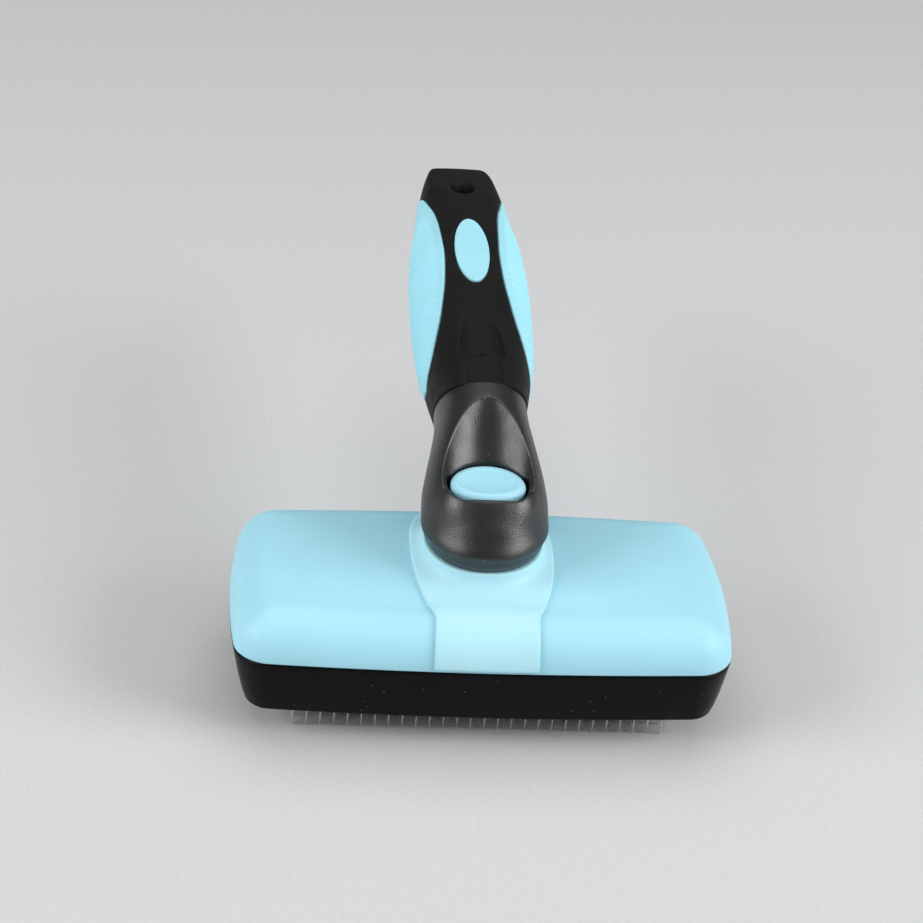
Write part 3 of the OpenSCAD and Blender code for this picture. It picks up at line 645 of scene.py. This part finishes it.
def build_badge():
    """The flat oval inlay, with a softened edge."""
    middle = (BADGE_LOW[1] + BADGE_HIGH[1]) / 2 - HEAD_Y
    half_w = (BADGE_HIGH[0] - BADGE_LOW[0]) / 2
    half_l = (BADGE_HIGH[1] - BADGE_LOW[1]) / 2
    top = (BADGE_LOW[2] + BADGE_HIGH[2] + BADGE_T) / 2
    angles = np.linspace(0, 2 * math.pi, 96, endpoint=False)

    def ring(inset, z):
        x = (half_w - inset) * np.cos(angles)
        y = (half_l - inset) * np.sin(angles)
        return np.column_stack([x, middle + y, z + y * BADGE_SLOPE])

    rings = [ring(0.3, top - BADGE_T), ring(0, top - BADGE_T + 0.3)]
    rings += [ring(0.4 * (1 - math.cos(a)), top - 0.4 + 0.4 * math.sin(a))
              for a in np.linspace(0, math.pi / 2, 7)]
    rings += [ring(half_w * s, top + 0.08 * s) for s in (0.2, 0.4, 0.6, 0.8, 0.97)]
    points, faces = loft(rings)
    return make_piece("oval_inlay", points, faces, cyan_rubber, "brush", ["handle_badge"])


rubber_sleeve = build_sleeve()
right_pad = build_pad(1, "right_pad", "right_grip_pad")
left_pad = build_pad(-1, "left_pad", "left_grip_pad")
oval_inlay = build_badge()


# ---------- the neck ----------

FOOT_Z = 38.2
# [middle y, middle z, tilt, half width, half length], from the foot up to the handle
NECK_SECTIONS = [[2.6, FOOT_Z, 0, 13.2, 16.1], [2.5, 40.8, 2, 14.1, 16.9], [4.8, 45.6, 14, 14.5, 16.4],
                 [9.8, 49.6, 28, 13.6, 16.3], [17.5, 52.2, 41, 12.2, 16.6], [25.5, 53.4, 50, 11.1, 16.9],
                 [33, 53.9, 53.9, 10.9, 17.1]]
NECK_POWER = 2.15
SCOOP_FRONT_Y = -7.4
SCOOP_BACK_Y = 17.2
SCOOP_WIDTHS = [[SCOOP_FRONT_Y, 6.4], [-6.6, 8], [-4.5, 9.6], [-1, 10.3], [3, 10.2], [8, 8.7], [13, 5.9],
                [16, 2.9], [SCOOP_BACK_Y, 0.8]]
SCOOP_FLOOR = [[SCOOP_FRONT_Y, 53.1], [-3, 53], [1, 52.2], [4, 51.8], [7, 52.8], [10, 56.2], [13, 60.6],
               [SCOOP_BACK_Y, 66.8]]
# The lip in front of the button is level and straight, and curves back at its corners.
LIP_Y = -7.2
LIP_Z = 53.7
LIP_STRAIGHT_HALF_W = 5.5
LIP_CURVE = 0.2
# Rounded bar that fills the neck out under the lip's corners
SHOULDER_R = 3.4
SHOULDER_HALF_W = 5.6
WELL_HALF_W = 9.4
# Longer half of the button, towards the scoop
BUTTON_BACK = 8.3
# The front stands out in a brow over the foot.
BROW_Z = 42.6
BROW = 0.65
BUTTON_W = BUTTON_HIGH[0] - BUTTON_LOW[0]
BUTTON_L = BUTTON_HIGH[1] - BUTTON_LOW[1]
WELL_GAP = 0.35


def button_oval(grid, gap):
    """Plan distance to the button's outline grown by a gap, negative inside."""
    back = np.where(grid.y > 0, BUTTON_BACK, BUTTON_L / 2) + gap
    across = np.abs(grid.x) / (BUTTON_W / 2 + gap)
    return grid.distance(np.sqrt(across**2 + (grid.y / back) ** 2 + 1e-9) - 1 + 0 * grid.z)


def lip_limit(grid):
    """How far a point lies in front of the lip, whose corners curve back round the button."""
    past = np.maximum(np.abs(grid.x) - LIP_STRAIGHT_HALF_W, 0)
    return LIP_Y + LIP_CURVE * past ** 2 - grid.y


def well_field(grid):
    """The button's well: D-shaped, straight at the lip and open beside the button."""
    sides = np.abs(grid.x) - WELL_HALF_W + 0.035 * (grid.y - 1) ** 2
    slots = both(both(sides, lip_limit(grid), 0.6), grid.y - 4.5, 3.0)
    return either(button_oval(grid, WELL_GAP), slots + 0 * grid.z, 0.3)


def neck_tables():
    """One [section number, value] table for each column of the neck's sections."""
    return [[[i, row[k]] for i, row in enumerate(NECK_SECTIONS)] for k in range(5)]


def neck_level(grid):
    """Field of the neck's swept body: which section a point lies in, then how far out it is."""
    tables = neck_tables()
    u = np.linspace(0, len(NECK_SECTIONS) - 1, 241)
    y0, z0, tilt, half_w, half_l = (through(t, u) for t in tables)
    tilt = np.radians(tilt)
    y, z = grid.y[0], grid.z[0]
    best = np.zeros((grid.shape[1], grid.shape[2]))
    previous = None
    for i in range(len(u)):
        side = (y - y0[i]) * np.sin(tilt[i]) + (z - z0[i]) * np.cos(tilt[i])
        if previous is not None:
            crossing = (previous > 0) & (side <= 0)
            share = previous / np.where(crossing, previous - side, 1)
            best = np.where(crossing, u[i - 1] + share * (u[i] - u[i - 1]), best)
        if i == len(u) - 1:
            best = np.where(side > 0, u[-1], best)
        previous = side
    y0, z0, tilt, half_w, half_l = (through(t, best) for t in tables)
    tilt = np.radians(tilt)
    v = (y - y0) * np.cos(tilt) - (z - z0) * np.sin(tilt)
    share_v = np.abs(v / half_l)[None]
    share_x = np.abs(grid.x) / half_w[None]
    return (share_x**NECK_POWER + share_v**NECK_POWER) ** (1 / NECK_POWER) - 1


def build_neck():
    """The satin black neck: swept body, spoon-shaped thumb scoop and the button's well."""
    grid = Grid([-15.6, -16, FOOT_Z - 1], [15.6, 48, 72], 0.26)
    handle = Handle(grid)
    sweep = grid.distance(neck_level(grid))
    sweep = both(sweep, handle.station - FRONT_STATION - 0.1, 0.3)
    tail = both(handle.skin + RUBBER + 0.05, handle.station - 44, 0.3)
    tail = both(tail, 32 - handle.station, 0.3)
    front = smooth_step(-grid.y, -6, 4)
    brow = np.exp(-((grid.z - BROW_Z) / np.where(grid.z < BROW_Z, 1.2, 2.4)) ** 2)
    body = either(sweep - BROW * front * brow, tail, 0.5)
    foot = FOOT_Z - grid.z
    body = both(body, foot, 0.7)
    spigot = both(handle.skin + RUBBER + 2.6, 34 - handle.station, 0.3)
    body = without(body, spigot, 0.3)

    # A full shoulder under the lip, right out to its corners
    back = grid.y - LIP_Y - SHOULDER_R
    past = np.maximum(np.abs(grid.x) - SHOULDER_HALF_W, 0)
    shoulder = np.sqrt(back ** 2 + (grid.z - LIP_Z + SHOULDER_R) ** 2 + past ** 2) - SHOULDER_R
    body = either(body, shoulder, 4.0)

    # Height of the neck's top surface at the scoop's rim, for each station
    solid = grid.spread(sweep) < 0
    top_index = solid.shape[2] - 1 - np.argmax(solid[:, :, ::-1], axis=2)
    top_z = grid.low[2] + top_index * grid.step
    ys = grid.y.ravel()
    xs = grid.x.ravel()
    half = through(SCOOP_WIDTHS, ys)
    column = np.clip(np.round((half - xs[0]) / grid.step).astype(int), 0, len(xs) - 1)
    rim_z = top_z[column, np.arange(len(ys))]
    kernel = np.hanning(11) / np.hanning(11).sum()
    rim_z = np.convolve(np.pad(rim_z, 5, mode="edge"), kernel, mode="valid")
    floor = through(SCOOP_FLOOR, ys)
    rise = np.maximum(rim_z - floor, 0.5)
    bowl_power = 2.3 + 5.0 * (1 - smooth_step(ys, 0, 9))
    share = np.abs(grid.x) / half[None, :, None]
    bowl = floor[None, :, None] + rise[None, :, None] * share ** bowl_power[None, :, None]
    scoop = grid.distance(bowl - grid.z)
    scoop = both(scoop, lip_limit(grid), 0.3)
    scoop = both(scoop, grid.y - SCOOP_BACK_Y - 0.4, 0.3)
    body = without(body, scoop, 0.28)
    lip = grid.z - LIP_Z - 1.2 * np.maximum(grid.y - LIP_Y - 0.7, 0) + 0 * grid.x
    body = both(body, lip, 0.4)
    body = without(body, well_field(grid), 0.35)
    points, faces = surface_net(grid, body)
    return make_piece("neck", points, faces, satin_black, "brush", ["neck_shell"])


def build_button():
    """The oval push button: straight sides, a soft bevel and a shallow dish."""
    low, high = BUTTON_LOW[2], BUTTON_HIGH[2]
    angles = np.linspace(0, 2 * math.pi, 128, endpoint=False)

    def ring(inset, z):
        x = (BUTTON_W / 2 - inset) * np.cos(angles)
        y = (np.where(np.sin(angles) > 0, BUTTON_BACK, BUTTON_L / 2) - inset) * np.sin(angles)
        return np.column_stack([x, y, np.full(len(x), z)])

    bevel = 1.25
    rings = [ring(0.25, low), ring(0.05, low + 0.15), ring(0, low + 0.4), ring(0, low + 2.4)]
    rings += [ring(bevel * (1 - math.cos(a)), high - bevel + bevel * math.sin(a))
              for a in np.linspace(0, math.radians(68), 9)]
    rings += [ring(bevel + 0.1, high - 0.02), ring(bevel + 0.45, high - 0.03)]
    half = BUTTON_L / 2
    for s in np.linspace(bevel + 0.8, half - 0.05, 14):
        depth = 0.45 * (1 - ((half - s) / (half - bevel)) ** 2)
        rings.append(ring(s, high - 0.05 - depth))
    points, faces = loft(rings)
    return make_piece("push_button", points, faces, button_plastic, "plunger", ["button"])


neck = build_neck()
push_button = build_button()


# ---------- the collar ----------

# Right half of the collar's outline seen from above, from the tongue round to the back
COLLAR_SIDE = [[11.8, -34], [11.8, -24.5], [12.1, -22.4], [13.2, -19.3], [14.6, -15], [15.8, -9], [16.4, -2],
               [16.6, 5], [16.2, 13], [14.4, 20], [10.6, 25], [5.6, 27.6]]
COLLAR_T = 1.0
TONGUE_Z = PARTING_Z + 0.9


def polygon_distance(px, py, corners):
    """Signed plan distance to a polygon, negative inside."""
    best = np.full(np.broadcast(px, py).shape, 1e9)
    inside = np.zeros(best.shape, bool)
    for (ax, ay), (bx, by) in zip(corners, np.roll(corners, -1, axis=0)):
        ex, ey = bx - ax, by - ay
        t = np.clip(((px - ax) * ex + (py - ay) * ey) / (ex * ex + ey * ey), 0, 1)
        best = np.minimum(best, (px - ax - t * ex) ** 2 + (py - ay - t * ey) ** 2)
        straddles = (ay > py) != (by > py)
        crossing = ax + (py - ay) * ex / (ey if abs(ey) > 1e-9 else 1e-9)
        inside ^= straddles & (px < crossing)
    return np.where(inside, -1, 1) * np.sqrt(best)


def smooth_outline(side, count):
    """Mirror-symmetric outline, with extra points on a smooth curve between the given ones."""
    side = np.array(side, float)
    u = np.arange(len(side))
    fine = np.linspace(0, len(side) - 1, count)
    x = through(np.column_stack([u, side[:, 0]]), fine)
    y = through(np.column_stack([u, side[:, 1]]), fine)
    right = np.column_stack([x, y])
    return np.vstack([right, right[::-1] * [-1, 1]])


def cover_distance(grid):
    """Distance to the cover's outer surface near the middle of the head, negative inside."""
    a = HEAD_W / 2 - SHORT_BOW
    b = HEAD_D / 2 - LONG_BOW
    edge_y = b + LONG_BOW * (1 - (grid.x / a) ** 2)
    flat = np.clip(np.maximum(np.abs(grid.x) / (a - EDGE_R), np.abs(grid.y) / (b - EDGE_R)), 0, 1)
    soft = np.sqrt(np.abs(grid.x / (a - EDGE_R)) ** 2 + np.abs(grid.y / (b - EDGE_R)) ** 2)
    top = COVER_TOP_Z + CROWN * (1 - np.clip(0.5 * flat + 0.5 * soft, 0, 1) ** 2)
    out = np.abs(grid.y) - (edge_y - EDGE_R)
    over = grid.z - (top - EDGE_R)
    corner = np.sqrt(np.maximum(out, 0) ** 2 + np.maximum(over, 0) ** 2)
    return corner + np.minimum(np.maximum(out, over), 0) - EDGE_R


def build_collar():
    """The cyan saddle: a thin skin on the cover, a tongue over the front edge and a mound under the neck."""
    grid = Grid([-18, -32.6, PARTING_Z + 0.4], [18, 29.5, FOOT_Z + 0.6], 0.26)
    skin = cover_distance(grid)
    plan = polygon_distance(grid.x[:, :, 0], grid.y[:, :, 0], smooth_outline(COLLAR_SIDE, 60))[:, :, None]
    saddle = both(skin - COLLAR_T, plan, 0.9)
    foot = NECK_SECTIONS[0]
    across = np.abs(grid.x) / (foot[3] + 0.5)
    along = np.abs(grid.y - foot[0]) / (foot[4] + 0.5)
    ring = grid.distance((across**NECK_POWER + along**NECK_POWER) ** (1 / NECK_POWER) - 1 + 0 * grid.z)
    stem = both(ring, grid.z - (FOOT_Z - 0.02), 0.35)
    stem = both(stem, CROWN_Z - 2 - grid.z, 0.3)
    body = either(saddle, stem, 4.2)
    body = both(body, plan - 0.05, 0.5)
    body = both(body, TONGUE_Z - grid.z, 0.8)
    body = both(body, grid.z - (FOOT_Z - 0.02), 0.3)
    body = both(body, 0.03 - skin, 0.1)
    body = without(body, well_field(grid), 0.3)
    points, faces = surface_net(grid, body)
    # The collar uses the painted lighter cyan, which stands in for front light.
    return make_piece("collar", points, faces, collar_lit_cyan, "brush", ["neck_collar"])


collar = build_collar()


# ---------- the pins and their cushion ----------

PIN_COLUMNS = 28
PIN_ROWS = 12
PIN_PITCH_X = 3.13
PIN_PITCH_Y = 3.8
WIRE_R = 0.225
PIN_BEND = 1.4
KNEE_Z = 6.4
CROWN_PIN_Z = CUSHION_HIGH[2] + WIRE_R
PIN_SIDES = 8


def tube(path, radius, tip):
    """Round wire along a path in three dimensions, pointed at both ends."""
    path = np.array(path, float)
    ahead = np.gradient(path, axis=0)
    ahead /= np.linalg.norm(ahead, axis=1)[:, None]
    side = np.cross(ahead, [0.3, 1, 0.2])
    side /= np.linalg.norm(side, axis=1)[:, None]
    other = np.cross(ahead, side)
    angles = np.linspace(0, 2 * math.pi, PIN_SIDES, endpoint=False)
    radii = np.full(len(path), radius)
    radii[0] = radii[-1] = tip
    rings = [p + r * (np.cos(angles)[:, None] * s + np.sin(angles)[:, None] * o)
             for p, r, s, o in zip(path, radii, side, other)]
    return loft(rings)


SPRING_WIRE = 0.8
SPRING_TURNS = 5
# Flat part of a turn at each end
SPRING_END_TURN = 0.75


def build_spring():
    """The round wire return spring, built as one fixed coil."""
    low, high = box_mm("return_spring")
    radius = (high[0] - low[0] - SPRING_WIRE) / 2
    turns = np.linspace(0, SPRING_TURNS, 48 * SPRING_TURNS + 1)
    rise = np.clip((turns - SPRING_END_TURN) / (SPRING_TURNS - 2 * SPRING_END_TURN), 0, 1)
    z = low[2] + SPRING_WIRE / 2 + (high[2] - low[2] - SPRING_WIRE) * rise
    angle = 2 * math.pi * turns
    path = np.column_stack([radius * np.cos(angle), radius * np.sin(angle), z])
    points, faces = tube(path, SPRING_WIRE / 2, SPRING_WIRE / 2.2)
    made = make_piece("coil_spring", points, faces, spring_steel, "brush", ["return_spring"])
    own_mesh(made)
    return made


def leg(x):
    """Middle line of one leg, from its tip up through the knee to the crown."""
    points = [(x, PIN_BEND, 0.0), (x, PIN_BEND * 0.97, 0.35)]
    points += [(x, PIN_BEND * (1 - u), KNEE_Z * u) for u in (0.4, 0.75, 0.9)]
    points += [(x, PIN_BEND * 0.02, KNEE_Z + 0.1), (x, 0, KNEE_Z + 0.8), (x, 0, 11)]
    points.append((x, 0, CROWN_PIN_Z - 0.35))
    return points


def build_pins():
    """Every staple: two legs and the crown behind the cushion, as one bent wire."""
    first = leg(0)
    second = leg(PIN_PITCH_X)[::-1]
    crown = [(0.12, 0, CROWN_PIN_Z - 0.08), (0.4, 0, CROWN_PIN_Z), (PIN_PITCH_X - 0.4, 0, CROWN_PIN_Z),
             (PIN_PITCH_X - 0.12, 0, CROWN_PIN_Z - 0.08)]
    points, faces = tube(first + crown + second, WIRE_R, 0.1)
    all_points, all_faces = [], []
    for i, j in itertools.product(range(0, PIN_COLUMNS, 2), range(PIN_ROWS)):
        place = [(i - (PIN_COLUMNS - 1) / 2) * PIN_PITCH_X, (j - (PIN_ROWS - 1) / 2) * PIN_PITCH_Y, 0]
        base = len(points) * len(all_points)
        all_points.append(points + place)
        all_faces += [[base + k for k in f] for f in faces]
    points = np.vstack(all_points)
    return make_piece("pins", points, all_faces, pin_steel, "brush", ["bristle_pins"])


def build_cushion():
    """The rubber cushion: crowned face, rounded edge and a dimple at the root of each pin."""
    low, high = CUSHION_LOW, CUSHION_HIGH
    grid = Grid([low[0] - 1, low[1] - HEAD_Y - 1, low[2] - 0.8],
                [high[0] + 1, high[1] - HEAD_Y + 1, high[2] + 0.8], 0.42)
    half_w = (high[0] - low[0]) / 2
    half_d = (high[1] - low[1]) / 2
    r = 4.0
    qx = np.maximum(np.abs(grid.x) - half_w + r, 0)
    qy = np.maximum(np.abs(grid.y) - half_d + r, 0)
    plan = np.sqrt(qx**2 + qy**2) - r
    fx = np.abs((grid.x / PIN_PITCH_X - 0.5) - np.round(grid.x / PIN_PITCH_X - 0.5)) * PIN_PITCH_X
    fy = np.abs((grid.y / PIN_PITCH_Y - 0.5) - np.round(grid.y / PIN_PITCH_Y - 0.5)) * PIN_PITCH_Y
    reach = np.sqrt(fx**2 + fy**2)
    dimple = 0.22 * np.exp(-((reach / 0.7) ** 2)) * (plan < -1)
    crown = 0.35 * (np.abs(grid.x) / half_w) ** 4 + 0.35 * (np.abs(grid.y) / half_d) ** 4
    face = low[2] + crown + dimple - grid.z
    body = both(plan + 0 * grid.z, face, 1.4)
    body = both(body, grid.z - high[2], 0.4)
    points, faces = surface_net(grid, body)
    return make_piece("cushion", points, faces, cushion_black, "brush", ["cushion_pad"])


coil_spring = build_spring()
pins = build_pins()
cushion = build_cushion()


# ---------- CAD nodes that keep their own shape ----------

KEPT = {
    "pin_board": dark_plastic,
    "cleaning_plate": plate_black,
    "carrier": natural_plastic,
    "push_rod": natural_plastic,
    "plunger_guide": natural_plastic,
    "carrier_screws": screw_steel,
    "push_rod_screw": screw_steel,
    "frame_screws": screw_steel,
    "neck_screws": screw_steel,
    "handle_core": dark_plastic,
    "handle_screws": screw_steel,
}
for name, material in KEPT.items():
    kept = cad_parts[name]
    kept.data.materials.clear()
    kept.data.materials.append(material)


# ---------- floor, light and camera ----------

def build_floor():
    mesh = bpy.data.meshes.new("floor")
    far = 6.0
    mesh.from_pydata([(-far, -far, 0), (far, -far, 0), (far, far, 0), (-far, far, 0)], [], [(0, 1, 2, 3)])
    floor = bpy.data.objects.new("floor", mesh)
    bpy.context.scene.collection.objects.link(floor)
    material, tree, surface = new_material("floor_paper")
    place = node(tree, "ShaderNodeTexCoord").outputs["Object"]
    fibre = node(tree, "ShaderNodeTexNoise", Scale=900.0, Detail=2.0)
    tree.links.new(place, fibre.inputs["Vector"])
    tree.links.new(ramp(tree, fibre.outputs["Fac"], (0.60, 0.605, 0.612), (0.63, 0.635, 0.642), 0.3, 0.7),
                   surface.inputs["Base Color"])
    surface.inputs["Roughness"].default_value = 0.9
    surface.inputs["Specular IOR Level"].default_value = 0.1
    mesh.materials.append(material)
    return floor


def soft_box(name, place, target, size, power):
    """A rectangular studio light facing a point."""
    data = bpy.data.lights.new(name, "AREA")
    data.shape = "RECTANGLE"
    data.size, data.size_y = size
    data.energy = power
    light = bpy.data.objects.new(name, data)
    light.location = place
    light.rotation_mode = "QUATERNION"
    light.rotation_quaternion = (Vector(target) - Vector(place)).to_track_quat("-Z", "Y")
    bpy.context.scene.collection.objects.link(light)
    return light


def build_world():
    world = bpy.data.worlds.new("studio")
    bpy.context.scene.world = world
    world.use_nodes = True
    tree = world.node_tree
    background = tree.nodes["Background"]
    direction = node(tree, "ShaderNodeTexCoord").outputs["Generated"]
    split = node(tree, "ShaderNodeSeparateXYZ")
    tree.links.new(direction, split.inputs[0])
    # A dark horizon under a bright ceiling
    tree.links.new(ramp(tree, split.outputs["Z"], 0.22, 1.0, 0.05, 0.8), background.inputs["Color"])
    background.inputs["Strength"].default_value = 0.32


CAMERA_PLACE = Vector((-52.356, -563.32, 337.1)) * MM
CAMERA_TARGET = Vector((-3.098, -23.408, 38.774)) * MM
CAMERA_ROLL = 4.4532
CAMERA_LENS = 100.07


def build_camera():
    data = bpy.data.cameras.new("camera")
    data.sensor_width = 36
    data.lens = CAMERA_LENS
    camera = bpy.data.objects.new("camera", data)
    camera.location = CAMERA_PLACE
    aim = (CAMERA_TARGET - CAMERA_PLACE).to_track_quat("-Z", "Y")
    camera.rotation_mode = "QUATERNION"
    camera.rotation_quaternion = aim @ Quaternion((0, 0, 1), math.radians(CAMERA_ROLL))
    data.clip_start = 0.01
    data.clip_end = 50
    bpy.context.scene.collection.objects.link(camera)
    bpy.context.scene.camera = camera


build_floor()
build_world()
head_middle = (0, HEAD_Y * MM, 0.04)
soft_box("left_box", (-1.0, -0.45, 0.58), head_middle, (0.8, 0.65), 9.8)
soft_box("right_box", (1.0, -0.45, 0.58), head_middle, (0.8, 0.65), 12.0)
soft_box("top_box", (0.0, 0.25, 1.1), (0, 0, 0.04), (1.0, 1.0), 3.8)
build_camera()

bpy.context.scene.view_settings.view_transform = "Standard"
